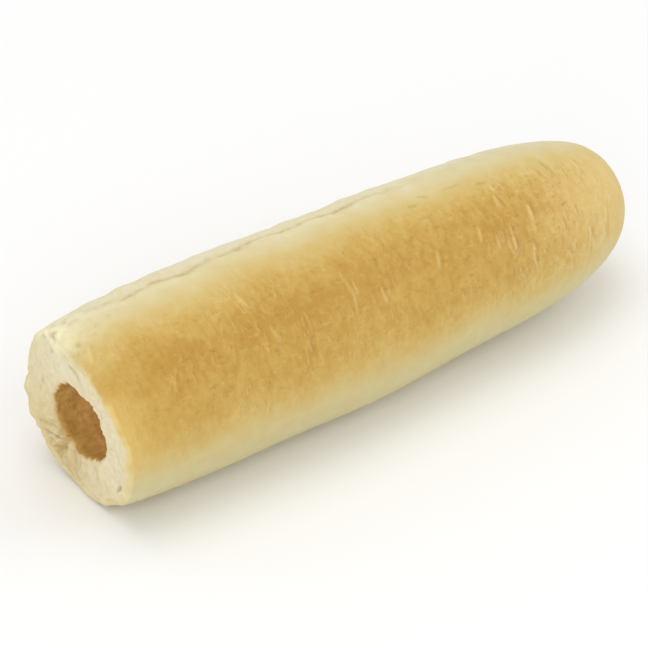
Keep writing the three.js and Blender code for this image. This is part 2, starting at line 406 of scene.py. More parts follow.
# Coats laid on in turn: pattern, strength, way, colour. Stains and painted shade are laid on one way, and
# their colour is the light they let through
STAIN_AND_SHADE = "MULTIPLY"
PAINT = "MIX"
CRUST_COATS = [
    # painted shade on the belly, and a cooler top at the far end
    ("belly_shade_and_cool_top", 1.0, STAIN_AND_SHADE, (0.9, 0.95, 1.0)),
    # painted shadow beside each ridge
    ("crease_shadows", 0.42, STAIN_AND_SHADE, (0.82, 0.7, 0.55)),
    # painted highlight on the ridges
    ("ridges_and_highlight", 0.22, PAINT, (240, 214, 150)),
    # painted highlight on the raised strands, and the lighter tip
    ("strand_highlight_and_tip", 0.5, PAINT, (230, 201, 132)),
    ("dark_specks", 0.45, STAIN_AND_SHADE, (0.72, 0.6, 0.42)),
    ("light_specks", 0.18, PAINT, (236, 212, 146)),
    # painted light on the flanks at the cut
    ("painted_cut_light", 0.55, PAINT, (232, 194, 106)),
    # pale rolled top, lighter on its lumps as painted highlight
    ("cream_and_lump_highlight", 0.85, PAINT, (247, 240, 196)),
]
CRUMB_COATS = [
    ("warm", 1.0, STAIN_AND_SHADE, (0.94, 0.91, 0.78)),
    # pale rolled top, with painted highlight on its lumps
    ("cream_and_lump_highlight", 0.7, PAINT, (234, 226, 194)),
]
SKIN_COATS = [("skin", 0.55, PAINT, (234, 216, 152))]
# Painted shade just inside the mouth of the hole
INNER_MOUTH_SHADE = (0.7, 0.68, 0.55, 1.0)
# Painted shade in the hollows of the crust and of the crumb
CRUST_HOLLOW_SHADE = (0.74, 0.71, 0.54, 1.0)
CRUMB_HOLLOW_SHADE = (0.76, 0.64, 0.44, 1.0)

# Patterns of the bread: cells to the metre along and round the roll, detail, roughness, distortion.
# Patches, fine grain and crumb have the same cells all ways: cells to the metre, detail, roughness
MOTTLE = (260, 190, 3, 0.55, 0.0)
CRINKLES = (640, 430, 3, 0.5, 0.0)
STREAKS = (420, 150, 2, 0.5, 0.5)
SPECKS = (620, 1300, 0, 0.5, 0.0)
TOAST_GRAIN = (420, 700, 3, 0.65, 0.0)
SMALL_FOLDS = (950, 360, 2, 0.5, 0.8)
FOLDS = (600, 210, 2, 0.5, 0.8)
LARGE_FOLDS = (420, 130, 2, 0.5, 0.8)
FOLD_LEVELS = (0.56, 0.72)
# Shift of the painted shadow from its ridge along the roll
CREASE_SHADOW_SHIFT = -0.38
PATCHES = (95, 1)
PATCH_LEVELS = (0.38, 0.6)
FAR_END_LEVELS = (0.76, 1.0)
FAR_END_FOLDS = 1.4
FINE_GRAIN = (700, 3)
CRUMB_PATTERN = (560, 4, 0.6)
DARK_LEVELS = (0.3, 0.22)
DARK_BAKE = (0.5, 0.85)
LIGHT_LEVELS = (0.7, 0.8)
# Swing of the browning from the patterns: the first all over, the others where the crust is wrinkled
MOTTLE_SWING = 0.25
WRINKLED_MOTTLE_SWING = 0.12
CRINKLE_SWING = 0.6
STREAK_SWING = 0.26
# Bump heights in millimetres, and the finish
RIDGE_HEIGHT = 0.18
CRINKLE_HEIGHT = 0.35
GRAIN_HEIGHT = 0.1
CRUMB_HEIGHT = 0.13
BUMP_STRENGTH = 0.6
CRUST_ROUGHNESS = 0.56
CRUMB_ROUGHNESS_MORE = 0.34
SPECULAR_LEVEL = 0.3

# Studio, in metres: floor, lights (place, size, power), and the light from all round
FLOOR_HALF = 4.0
FLOOR_CELLS = 3
FLOOR_TONES = [(0.3, (0.93, 0.93, 0.925, 1.0)), (0.7, (0.94, 0.94, 0.935, 1.0))]
FLOOR_ROUGHNESS = 0.9
LIGHTS = {
    "softbox_top": ((-0.15, 0.1, 1.3), 0.9, 4.5),
    "softbox_left": ((-0.9, -0.8, 0.7), 0.8, 2.5),
    "softbox_right": ((1.0, -0.7, 0.6), 0.8, 2.5),
}
LIGHT_AIM = (0, 0, 0.02)
ROOM_COLOUR = (1.0, 1.0, 1.0, 1.0)
ROOM_STRENGTH = 0.75

# Camera at the photograph's angle: distances in metres, lens and sensor in millimetres
AZIMUTH = math.radians(-35.75)
ELEVATION = math.radians(37.0)
CAMERA_DISTANCE = 0.816
FOCAL_LENGTH = 175.3
SENSOR_WIDTH = 36
AIM_HEIGHT = 0.0255
AIM_RIGHT = -0.00712
AIM_UP = -0.00671

# Steps of the repeatable unevenness, chosen so that neighbouring cells have nothing in common
CELL_STEPS = (12.9898, 78.233, 37.719)
CELL_SCALE = 43758.5453
SEED_STEP = 17.31


def bell(value):
    return np.exp(-value * value)


def ease(low, high, value):
    share = np.clip((value - low) / (high - low), 0.0, 1.0)
    return share * share * (3 - 2 * share)


def mix(first, second, share):
    return first + (second - first) * share


def band(start, full, last, end, value):
    """1 between full and last, easing out to start and end."""
    return ease(start, full, value) * ease(end, last, value)


def steps_along(distance, steps):
    """Sum of eased changes along the roll: change, start and end of each."""
    return sum(change * ease(start, end, distance) for change, start, end in steps)


def turn_from(middle, angle):
    """Angle from one direction to another, within half a turn each way."""
    return np.arctan2(np.sin(angle - middle), np.cos(angle - middle))


def close_to(place, angle):
    """How close to a place round the girth, given as its angle in degrees and its spread in radians."""
    middle, spread = place
    return bell(turn_from(math.radians(middle), angle) / spread)


def cell_value(*cells):
    """A repeatable value between 0 and 1 for each cell of a grid."""
    mixed = np.sin(sum(cell * step for cell, step in zip(cells, CELL_STEPS))) * CELL_SCALE
    return mixed - np.floor(mixed)


def soft_bumps(across, up):
    """Soft bumps over a plane, between 0 and 1, about one cell wide."""
    column, row = np.floor(across), np.floor(up)
    share_across, share_up = ease(0, 1, across - column), ease(0, 1, up - row)
    below = mix(cell_value(column, row), cell_value(column + 1, row), share_across)
    above = mix(cell_value(column, row + 1), cell_value(column + 1, row + 1), share_across)
    return mix(below, above, share_up)


def soft_noise(points, cell, seed):
    """Soft unevenness in space, between -1 and 1, about one cell wide."""
    place = points / np.asarray(cell, float) + seed * SEED_STEP
    corner = np.floor(place)
    x, y, z = ease(0, 1, place - corner).T
    total = 0.0
    for i in (0, 1):
        for j in (0, 1):
            for k in (0, 1):
                weight = (x if i else 1 - x) * (y if j else 1 - y) * (z if k else 1 - z)
                total = total + weight * cell_value(corner[:, 0] + i, corner[:, 1] + j, corner[:, 2] + k)
    return 2 * total - 1


def uneven(points, layers):
    """Sum of layers of soft unevenness: height, cell and seed of each."""
    return sum(height * soft_noise(points, cell, seed) for height, cell, seed in layers)


# Plain form of the bun


def tip_share(distance):
    return np.clip((distance - TIP_START) / TIP_LENGTH, 0.0, 1.0)


def crust_radius(distance):
    taper = TAPER * (distance / LENGTH - WIDEST_SHARE) ** 2
    pinch = PINCH * np.exp(-distance / PINCH_LENGTH)
    dome = (1 - tip_share(distance) ** TIP_BLUNTNESS) ** (1 / TIP_BLUNTNESS)
    return WIDTH / 2 * (1 - taper - pinch) * dome


def score_angle(distance):
    angle = SCORE_ANGLE
    for swing, length, shift in SCORE_WAVES:
        angle = angle + math.radians(swing) * np.sin(FULL_TURN * distance / length + shift)
    return angle


def score_strength(distance):
    """How open the score is: it starts behind the cut and fades out along the roll."""
    opening = ease(SCORE_START, SCORE_START + SCORE_START_LENGTH, distance)
    return opening * (1 - ease(SCORE_LENGTH - SCORE_FADE_LENGTH, SCORE_LENGTH, distance))


def score_hollow(aside, near_width, far_width):
    """Hollow of the score by the way aside from it: steep on the near side, easy on the far side."""
    return bell(aside / np.where(aside < 0, near_width, far_width))


def wall_share(distance, radius):
    """Share of the way from the wall of the hole to the crust."""
    wall = np.maximum(crust_radius(distance) - HOLE_RADIUS, THINNEST_WALL)
    return np.where(distance > HOLE_DEPTH, 1.0, np.clip((radius - HOLE_RADIUS) / wall, 0.0, 1.0))


def tuft_reach(tufts, angle):
    reach = 0.0
    for middle, width, height in tufts:
        reach = reach + height * bell(turn_from(math.radians(middle), angle) / math.radians(width))
    return reach


def crust_relief(distance, radius, angle):
    """Height of the crust over the plain roll: slow swells and the score with its lip."""
    height = 0.0
    for turns, length, tall, shift in CRUST_WAVES:
        phase = turns * angle + FULL_TURN * distance / length + shift
        height = height + tall * (1 - tip_share(distance)) * np.sin(phase)
    aside = turn_from(score_angle(distance), angle) * radius
    lip = LIP_SHARE * bell((aside + LIP_OFFSET) / LIP_WIDTH)
    hollow = score_hollow(aside, SCORE_NEAR_WIDTH, SCORE_FAR_WIDTH)
    return height + SCORE_DEPTH * score_strength(distance) * (lip - hollow)


def mouth_relief(distance, angle):
    """Width that the torn mouth adds to the round hole."""
    height = MOUTH_OVAL * np.sin(2 * angle + MOUTH_OVAL_SHIFT) - tuft_reach(MOUTH_TUFTS, angle)
    return height * np.exp(-distance / MOUTH_TEAR_LENGTH)


def ring_noise(angle, radius, cell, seed):
    """Unevenness round an edge, with finer unevenness of half its size on it."""
    ring = np.stack([radius * np.cos(angle), radius * np.sin(angle), 0 * angle], 1)
    return soft_noise(ring, cell, seed) + 0.5 * soft_noise(ring, cell / 2, seed + 1)


def edge_rags(distance, angle, radius, rags):
    """Raggedness of the mouth or the rim, which dies away from the cut."""
    height, more, place, reach, cell, seed = rags
    height = height + more * close_to(place, angle)
    return height * np.exp(-distance / reach) * ring_noise(angle, radius, cell, seed)


def settle(distance, plain_radius, angle):
    """Moves points of the plain turned roll to where they lie on the baked and cut bun."""
    share = wall_share(distance, plain_radius)
    on_crust = ease(*SOLID_CRUST, share)
    edge = share**RIM_POWER
    near_cut = np.exp(-distance / RIM_TEAR_LENGTH)
    torn = tuft_reach(RIM_TUFTS, angle) * near_cut
    roll = bell(turn_from(ROLL_ANGLE, angle) / ROLL_SPREAD) * np.exp(-distance / ROLL_LENGTH)

    radius = plain_radius + on_crust * (crust_relief(distance, plain_radius, angle) + torn / 2)
    radius = radius - edge * ROLL_DROP * roll + (1 - share) * mouth_relief(distance, angle)
    radius = radius + (1 - share) ** MOUTH_POWER * edge_rags(distance, angle, HOLE_RADIUS, MOUTH_RAGS)
    radius = radius + on_crust * edge_rags(distance, angle, WIDTH / 2, RIM_RAGS)

    tall = mix(1.0, ROUND_HEIGHT / WIDTH, share)
    back = -radius * np.cos(angle) - (1 - share) * HOLE_FORWARD + share * TIP_LEAN * tip_share(distance) ** 2
    height = np.maximum(0.0, AXIS_HEIGHT + tall * radius * np.sin(angle) + (1 - share) * HOLE_RAISE)

    lean = CUT_LEAN_UP * (height - ROUND_HEIGHT / 2) + CUT_LEAN_BACK * back
    crumb = CRUMB_DEPTH * soft_bumps(back / CRUMB_GRAIN, height / CRUMB_GRAIN) * near_cut * (1 - on_crust)
    bulge_back = back + BULGE_RADIUS * math.cos(BULGE_ANGLE)
    bulge_up = height - AXIS_HEIGHT - BULGE_RADIUS * math.sin(BULGE_ANGLE)
    bulge = bell(np.hypot(bulge_back, bulge_up) / BULGE_SPREAD)
    along = lean * np.clip(1 - distance / CUT_LEAN_LENGTH, 0.0, 1.0) + edge * (ROLL_BACK * roll - torn)
    along = along + crumb - BULGE_DEPTH * bulge * np.exp(-distance / BULGE_LENGTH)
    return np.stack([distance + along, back, height], 1)


# Rows of the surface, from the end of the hole out to the cut, over the rim and on to the tip


def spaced(start, end, count):
    return np.linspace(start, end, count + 1)[1:]


def quarter_turn(count):
    return spaced(0, math.pi / 2, count)


def outline_rows():
    """Distance from the cut, plain radius, number of columns and zone of each row."""
    rows = [(HOLE_DEPTH, 0.0, 1, "hole")]

    def add(distances, radii, columns, zone):
        pairs = np.broadcast(np.asarray(distances, float), np.asarray(radii, float))
        rows.extend((d, r, columns, zone) for d, r in pairs)

    turn = quarter_turn(HOLE_END_ROWS)
    hole_end = HOLE_DEPTH - HOLE_END_LENGTH * (1 - np.cos(turn))
    add(hole_end, HOLE_RADIUS * np.sin(turn), END_COLUMNS, "hole")
    add(spaced(HOLE_DEPTH - HOLE_END_LENGTH, FRONT_END, HOLE_ROWS), HOLE_RADIUS, HOLE_COLUMNS, "hole")
    add(spaced(FRONT_END, MOUTH_ROUND, FRONT_ROWS), HOLE_RADIUS, CRUST_COLUMNS, "hole")
    turn = quarter_turn(MOUTH_ROWS)
    mouth = MOUTH_ROUND * (1 - np.sin(turn))
    add(mouth, HOLE_RADIUS + MOUTH_ROUND * (1 - np.cos(turn)), CUT_COLUMNS, "face")
    face = spaced(HOLE_RADIUS + MOUTH_ROUND, crust_radius(0.0) - RIM_ROUND, FACE_ROWS)
    add(0.0, face, CUT_COLUMNS, "face")
    turn = quarter_turn(RIM_ROWS)
    rim = RIM_ROUND * (1 - np.cos(turn))
    add(rim, crust_radius(rim) - RIM_ROUND * (1 - np.sin(turn)), CUT_COLUMNS, "crust")
    near = spaced(RIM_ROUND, NEAR_END, NEAR_ROWS)
    add(near, crust_radius(near), CUT_COLUMNS, "crust")
    middle = spaced(NEAR_END, TIP_START, CRUST_ROWS)
    add(middle, crust_radius(middle), CRUST_COLUMNS, "crust")
    tip = TIP_START + TIP_LENGTH * np.sin(quarter_turn(TIP_ROWS))
    for start, end, columns in TIP_STRETCHES:
        add(tip[start:end], crust_radius(tip[start:end]), columns, "crust")
    return rows


def column_turns(row):
    return np.arange(row[2]) / row[2]


def column_angle(turn, distance, zone):
    """Columns crowd together along the score and follow its bends."""
    angle = FULL_TURN * turn
    aside = turn_from(SCORE_ANGLE, angle)
    if zone != "crust":
        return angle - CROWDING[0] * np.sin(aside)
    crowding = mix(*CROWDING, ease(*CROWDING_STRETCH, distance))
    bend = (score_angle(distance) - SCORE_ANGLE) * bell(aside)
    return angle - crowding * np.sin(aside) + bend


def surface_faces(rows):
    """Corner lists of the faces between rows, each corner as its vertex, row and turn round the axis."""
    starts = np.concatenate([[0], np.cumsum([row[2] for row in rows])])
    faces, zones = [], []

    def corner(row, column):
        count = rows[row][2]
        return int(starts[row] + math.floor(column) % count), row, column / count

    def pole(row, turn):
        return int(starts[row]), row, turn

    for i in range(len(rows) - 1):
        first, second = rows[i][2], rows[i + 1][2]
        for j in range(max(first, second) if min(first, second) == 1 else min(first, second)):
            if first == 1:
                new = [[pole(i, (j + 0.5) / second), corner(i + 1, j), corner(i + 1, j + 1)]]
            elif second == 1:
                new = [[corner(i, j), pole(i + 1, (j + 0.5) / first), corner(i, j + 1)]]
            elif first == second:
                new = [[corner(i, j), corner(i + 1, j), corner(i + 1, j + 1), corner(i, j + 1)]]
            elif first < second:
                low = [corner(i, j), corner(i, j + 1)]
                high = [corner(i + 1, 2 * j + n) for n in range(3)]
                new = [[low[0], high[0], high[1]], [low[0], high[1], low[1]], [low[1], high[1], high[2]]]
            else:
                low = [corner(i, 2 * j + n) for n in range(3)]
                high = [corner(i + 1, j), corner(i + 1, j + 1)]
                new = [[low[0], high[0], low[1]], [low[1], high[0], high[1]], [low[1], high[1], low[2]]]
            faces.extend(new)
            zones.extend([rows[i + 1][3]] * len(new))
    return faces, zones


def flat_map(rows, faces, zones):
    """Places of all corners on a flat map: crust and hole unrolled, the cut as a ring, all at one scale."""
    steps = np.diff([row[:2] for row in rows], axis=0)
    ways = np.concatenate([[0.0], np.cumsum(np.hypot(*steps.T))])
    names = [row[3] for row in rows]
    places = []
    for face, zone in zip(faces, zones):
        start = ways[max(names.index(zone) - 1, 0)]
        for vertex, row, turn in face:
            way = (ways[row] - start) / MAP_SIDE
            if zone == "face":
                reach = HOLE_RADIUS / MAP_SIDE + way
                across = reach * math.cos(FULL_TURN * turn)
                up = reach * math.sin(FULL_TURN * turn)
            else:
                across = way
                up = turn * MAP_GIRTHS[zone] / MAP_SIDE
            places.append((MAP_CORNERS[zone][0] + across, MAP_CORNERS[zone][1] + up))
    return places


# Fine relief, as heights along the surface's own direction


def scattered_dents(points, centres, radii, depths):
    """Sum of round soft dents."""
    total = np.zeros(len(points))
    for centre, radius, depth in zip(centres, radii, depths):
        apart = np.linalg.norm(points - centre, axis=1) / radius
        near = apart < 1
        total[near] -= depth * (1 - apart[near] ** 2) ** 2
    return total


def straight_dents(across, up, lines):
    """Sum of soft straight dents that run out at both ends."""
    total = np.zeros(len(across))
    for across_0, up_0, across_1, up_1, width, depth in lines:
        reach_across, reach_up = across_1 - across_0, up_1 - up_0
        way = (across - across_0) * reach_across + (up - up_0) * reach_up
        way = np.clip(way / (reach_across**2 + reach_up**2), 0, 1)
        apart = np.hypot(across - across_0 - way * reach_across, up - up_0 - way * reach_up)
        total -= depth * bell(apart / (width * mix(LINE_END_WIDTH, 1.0, np.sin(math.pi * way))))
    return total


def girth_dents(distance, angle, lines):
    """Dents along lines on the crust, with girth angles turned into millimetres."""
    degree = math.pi / 360 * WIDTH
    lines = [(d0, a0 * degree, d1, a1 * degree, width, depth) for d0, a0, d1, a1, width, depth in lines]
    return straight_dents(distance, np.degrees(angle) * degree, lines)


def crust_strands(points, distance, angle):
    """Height of the raised strands, which wander a little."""
    return -girth_dents(distance + uneven(points, STRAND_WANDER), angle, CRUST_STRANDS)


def cut_tears(points):
    return straight_dents(points[:, 1], points[:, 2], CUT_TEARS)


def cut_strands(points):
    """Height of the single strands that stand out of the cut."""
    return -straight_dents(points[:, 1], points[:, 2], CUT_STRANDS)


def strand_ridges(angle, share):
    """Torn strands that run from the hole to the rim on the lower far side."""
    around = np.stack([np.degrees(angle) / STRAND_DEGREES, share * STRAND_SHARE, 0 * angle], 1)
    return soft_noise(around, 1.0, STRAND_SEED) * close_to(STRAND_PLACE, angle)


def rolled_share(distance, angle):
    """Where the crust is rolled over the top of the cut."""
    return np.exp(-distance / ROLLED_LENGTH) * close_to(ROLLED_PLACE, angle)


def slash_share(points, distance, aside, share):
    """Torn crumb laid open behind the lip of the score, with a ragged far edge."""
    strength = score_strength(distance)
    reach = strength * (SLASH_REACH + uneven(points, SLASH_SWELLS)) + uneven(points, SLASH_EDGE)
    slash = ease(*SLASH_NEAR, aside) * ease(reach + SLASH_SOFTNESS, reach - SLASH_SOFTNESS, aside)
    return slash * ease(*SLASH_OPENS, strength) * (share == 1)


def crust_detail(points, distance, angle, aside, share, slash, random):
    """Folds, dents, lines and strands of the crust, lumps at its rolled top, torn crumb in the score."""
    crust = ease(*FINE_CRUST, share)
    patchy = ease(*FOLD_EDGE, uneven(points, FOLD_PATCHES))
    detail = patchy * steps_along(distance, FOLD_STEPS) * uneven(points, CRUST_FOLDS)
    detail = detail + uneven(points, CRUST_GRAIN)
    centres = points[random.choice(np.flatnonzero(crust > WHOLE_CRUST), DENT_COUNT)]
    radii = random.uniform(*DENT_RADII, DENT_COUNT)
    detail = detail + scattered_dents(points, centres, radii, random.uniform(*DENT_DEPTHS, DENT_COUNT))
    detail = detail + girth_dents(distance, angle, CRUST_LINES) + crust_strands(points, distance, angle)
    strip = band(*STRIP_ASIDE, aside) * band(*STRIP_ALONG, distance)
    detail = detail + strip * uneven(points, STRIP_LUMPS)
    rolled = ease(*ROLLED_FROM, share) * rolled_share(distance, angle)
    rolled = rolled * ROLLED_HEIGHT * uneven(points, ROLLED_LUMPS)
    return crust * detail + rolled + slash * (uneven(points, SLASH_CRUMB) - SLASH_DEPTH)


def cut_detail(points, distance, angle, share, crumb, random):
    """Tears, strands and pores of the crumb at the cut."""
    torn = 1 + TORN_MORE * close_to(TORN_PLACE, angle)
    detail = uneven(points, CUT_CRUMB) * torn + STRAND_HEIGHT * strand_ridges(angle, share)
    detail = detail + cut_tears(points) + cut_strands(points)
    flat_crumb = np.flatnonzero((crumb > WHOLE_CRUMB) & (distance < FLAT_CUT))
    centres = points[random.choice(flat_crumb, PORE_COUNT)]
    radii = PORE_RADIUS + PORE_SPREAD * random.random(PORE_COUNT) ** PORE_POWER
    return detail + scattered_dents(points, centres, radii, PORE_DEPTH_SHARE * radii)


def fine_relief(points, distance, angle, aside, share, inside, slash):
    random = np.random.default_rng(DRAW_SEED)
    crumb = (1 - ease(*FINE_CRUST, share)) * (1 - inside)
    relief = crust_detail(points, distance, angle, aside, share, slash, random)
    relief = relief + crumb * cut_detail(points, distance, angle, share, crumb, random)
    relief = relief + inside * uneven(points, HOLE_CRUMB)
    return relief * ease(0.0, FLOOR_EASE, points[:, 2])


# Colour shares at each point, painted light and shade among them


def flank_angle(angle):
    """Angle in degrees on the near side of the pale top, the same for both flanks."""
    return PALE_TOP_ANGLE - np.abs(np.degrees(turn_from(math.radians(PALE_TOP_ANGLE), angle)))


def tip_middle(distance, plain_radius):
    """The middle of the tip, where the flanks, the top and the belly come together."""
    return ease(*TIP_RADII, plain_radius) * (distance > TIP_START)


def girth_browning(points, angle):
    """How brown the crust is round the girth: both flanks are golden, the top and the belly stay pale."""
    return np.interp(flank_angle(angle) + uneven(points, BROWNING_WANDER), *zip(*BROWNING))


def bake_share(points, distance, plain_radius, angle):
    """How brown the crust is all over: the tip and the cut end are paler."""
    share = girth_browning(points, angle)
    score_end = ease(*SCORE_END_STRETCH, distance) * close_to(SCORE_END_PLACE, angle)
    share = share + SCORE_END_BAKE * score_end
    tip = TIP_PALENESS * ease(*TIP_PALE_STRETCH, distance)
    share = share - tip * np.maximum(share - TIP_PALE_FROM, 0)
    share = mix(share, TIP_BAKE, tip_middle(distance, plain_radius))
    share = share * (1 - CUT_PALENESS * bell(distance / CUT_PALE_LENGTH))
    rim = np.exp(-distance / RIM_PALE_LENGTH) * close_to(RIM_PALE_PLACE, angle)
    share = share * (1 - RIM_PALENESS * rim)
    return share * (1 + uneven(points, BAKE_MOTTLE))


def shade_share(points, distance, angle, aside, share, slash):
    """Hollows that look darker: the score behind its lip, the lines in the crust, the tears in the cut."""
    dashes = score_strength(distance) * (LINE_SHADE + uneven(points, LINE_DASHES))
    crust = dashes * score_hollow(aside - LINE_ASIDE - uneven(points, LINE_WANDER), *LINE_WIDTHS)
    crust = crust - CRUST_LINE_SHADE * girth_dents(distance, angle, CRUST_LINES)
    crust = crust + STRAND_SHADE * crust_strands(points, distance - STRAND_SHADE_ASIDE, angle)
    hollows = np.maximum(-uneven(points, ROLLED_LUMPS) - ROLLED_SHADE_FROM, 0)
    crust = crust + ROLLED_SHADE * rolled_share(distance, angle) * hollows
    cut = STRAND_GAP_SHADE * np.maximum(-strand_ridges(angle, share), 0) - TEAR_SHADE * cut_tears(points)
    cut = cut + LOW_CRUMB_SHADE * close_to(LOW_CRUMB_PLACE, angle)
    on_crust = ease(*SHADED_CRUST, share)
    shade = np.clip(on_crust * crust + (1 - on_crust) * (distance < CUT_SHADE_LENGTH) * cut, 0, 1)
    return shade + SLASH_SHADE * slash


def skin_shares(angle, way_over, share, slash):
    """Share of bare crumb, and of the bright line where the skin of the crust ends."""
    height, cell, seed = SKIN_RAGS
    edge = SKIN_REACH + height * ring_noise(angle, WIDTH / 2, cell, seed)
    edge = edge + SKIN_ROLLED * close_to(SKIN_ROLLED_PLACE, angle)
    edge = edge + SKIN_TORN * close_to(SKIN_TORN_PLACE, angle)
    border = SKIN_SOFTNESS + SKIN_SOFTER * close_to(SKIN_SOFTER_PLACE, angle)
    crumb = ease(-border, border, way_over - edge) * (share < 1)
    line = bell(way_over - edge + SKIN_LINE_SHIFT)
    for missing, place in SKIN_GAPS:
        line = line * (1 - missing * close_to(place, angle))
    return np.maximum(crumb, SLASH_CRUMB_SHARE * slash), line


def toast_and_mouth_shade_share(points, angle, way_in, share):
    """The toasted hole, with a ragged edge, and painted shade in its colour outside its mouth."""
    toast = ease(-TOAST_SOFTNESS, TOAST_SOFTNESS, way_in + uneven(points, TOAST_EDGE))
    outer_shade = OUTER_MOUTH_SHADE[0] * ease(-OUTER_MOUTH_SHADE[1], 0, way_in)
    more = OUTER_MOUTH_SHADE_MORE[0] * ease(-OUTER_MOUTH_SHADE_MORE[1], 0, way_in)
    outer_shade = outer_shade + more * close_to(OUTER_MOUTH_SHADE_PLACE, angle)
    return np.where(share < MOUTH_HALF, np.maximum(toast, outer_shade), 0.0)


def cream_and_highlight_share(points, distance, angle):
    """Pale colour of the crust that is rolled over the top of the cut, lighter on its lumps as a painted
    highlight.
    """
    lumps = np.clip(CREAM_SHARE + CREAM_LUMP_HIGHLIGHT * uneven(points, ROLLED_LUMPS), 0, CREAM_MOST)
    return np.exp(-distance / CREAM_LENGTH) * close_to(CREAM_PLACE, angle) * lumps


def cut_light_share(distance, angle, bake):
    """Painted light on the flanks at the cut, where they round towards the light: a brighter gold."""
    flank = ease(*CUT_LIGHT_FLANK, flank_angle(angle))
    return np.exp(-distance / CUT_LIGHT_LENGTH) * ease(*CUT_LIGHT_BAKE, bake) * flank


def belly_shade_and_cool_top_share(distance, angle, middle):
    """Painted shade on the belly, darker and less yellow, and the less yellow top of the far end."""
    belly = ease(*BELLY_FLANK, flank_angle(angle))
    far_top = ease(*FAR_TOP_STRETCH, distance) * close_to(FAR_TOP_PLACE, angle)
    return (belly + FAR_TOP_COOLNESS * far_top) * (1 - middle)


def strand_highlight_share(points, distance, angle, share, middle):
    """Painted highlight on the raised strands of the crust, and the lighter tip."""
    tip = ease(*TIP_GLOW_STRETCH, distance) * close_to(TIP_GLOW_PLACE, angle)
    strands = np.clip(STRAND_HIGHLIGHT * crust_strands(points, distance, angle), 0, 1)
    return strands * (share == 1) + mix(tip, TIP_GLOW_MIDDLE, middle)


def warm_share(points, angle):
    """The lower far side of the cut, which is yellower between its strands."""
    return close_to(WARM_PLACE, angle) * (1 - np.clip(cut_strands(points), 0, WARM_STRANDS))


def wrinkle_share(points, distance, angle):
    """How wrinkled the crust is: where it is browned, and most towards the far end."""
    wrinkled = WRINKLE_AT_CUT + steps_along(distance, WRINKLE_STEPS)
    return wrinkled * ease(*WRINKLE_BAKE, girth_browning(points, angle))


# Mesh of the bun

rows = outline_rows()
distance = np.concatenate([np.full(row[2], row[0]) for row in rows])
plain_radius = np.concatenate([np.full(row[2], row[1]) for row in rows])
angle = np.concatenate([column_angle(column_turns(row), row[0], row[3]) for row in rows])
in_hole = np.concatenate([np.full(row[2], float(row[3] == "hole")) for row in rows])

points = settle(distance, plain_radius, angle)
share = wall_share(distance, plain_radius)
mid_back = (points[:, 1].min() + points[:, 1].max()) / 2
points -= [LENGTH - cad_box[1][0] / MM, mid_back, 0.0]
faces, zones = surface_faces(rows)

mesh = bpy.data.meshes.new("bun_bread")
mesh.from_pydata(points * MM, [], [[vertex for vertex, row, turn in face] for face in faces])
normals = np.empty(len(points) * 3, np.float32)
mesh.vertex_normals.foreach_get("vector", normals)
normals = normals.reshape(-1, 3)

# Way into the hole past its mouth, way in over the cut from its rim, way aside from the score
way_in = np.where(plain_radius < WIDTH / 2, distance - (plain_radius - HOLE_RADIUS), -1.0)
way_over = np.where(share < 1, crust_radius(0.0) - plain_radius, -distance)
aside = turn_from(score_angle(distance), angle) * plain_radius
inside = np.maximum(in_hole, ease(*MOUTH_EDGE, way_in) * (share < MOUTH_HALF))
slash = slash_share(points, distance, aside, share)

relief = fine_relief(points, distance, angle, aside, share, inside, slash)
points = points + normals * relief[:, None]
points[:, 2] = np.maximum(points[:, 2], 0.0)
mesh.vertices.foreach_set("co", (points * MM).astype(np.float32).ravel())
mesh.polygons.foreach_set("use_smooth", np.ones(len(faces), bool))

bake = bake_share(points, distance, plain_radius, angle)
middle = tip_middle(distance, plain_radius)
crumb, skin = skin_shares(angle, way_over, share, slash)
shares = {
    "bake": bake,
    "belly_shade_and_cool_top": belly_shade_and_cool_top_share(distance, angle, middle),
    "crumb": crumb,
    "skin": skin,
    "painted_cut_light": cut_light_share(distance, angle, bake),
    "cream_and_lump_highlight": cream_and_highlight_share(points, distance, angle),
    "warm": warm_share(points, angle),
    "deep": ease(*DEEP_WAY, way_in),
    # the toasted hole, and painted shade outside its mouth
    "toast": toast_and_mouth_shade_share(points, angle, way_in, share),
    "shade": shade_share(points, distance, angle, aside, share, slash),
    "strand_highlight_and_tip": strand_highlight_share(points, distance, angle, share, middle),
    "wrinkle": wrinkle_share(points, distance, angle),
}
for name, values in shares.items():
    attribute = mesh.attributes.new(name, "FLOAT", "POINT")
    attribute.data.foreach_set("value", values.astype(np.float32))
flat = mesh.uv_layers.new(name="OFBake")
flat.uv.foreach_set("vector", np.array(flat_map(rows, faces, zones), np.float32).ravel())
mesh.update()

bun = bpy.data.objects.new("bun_bread", mesh)
bpy.context.scene.collection.objects.link(bun)


# Bread material


def linear(red, green, blue):
    """Colour on a screen, 0 to 255, as light."""
    shares = [value / 255 for value in (red, green, blue)]
    return [s / 12.92 if s <= 0.04045 else ((s + 0.055) / 1.055) ** 2.4 for s in shares] + [1.0]


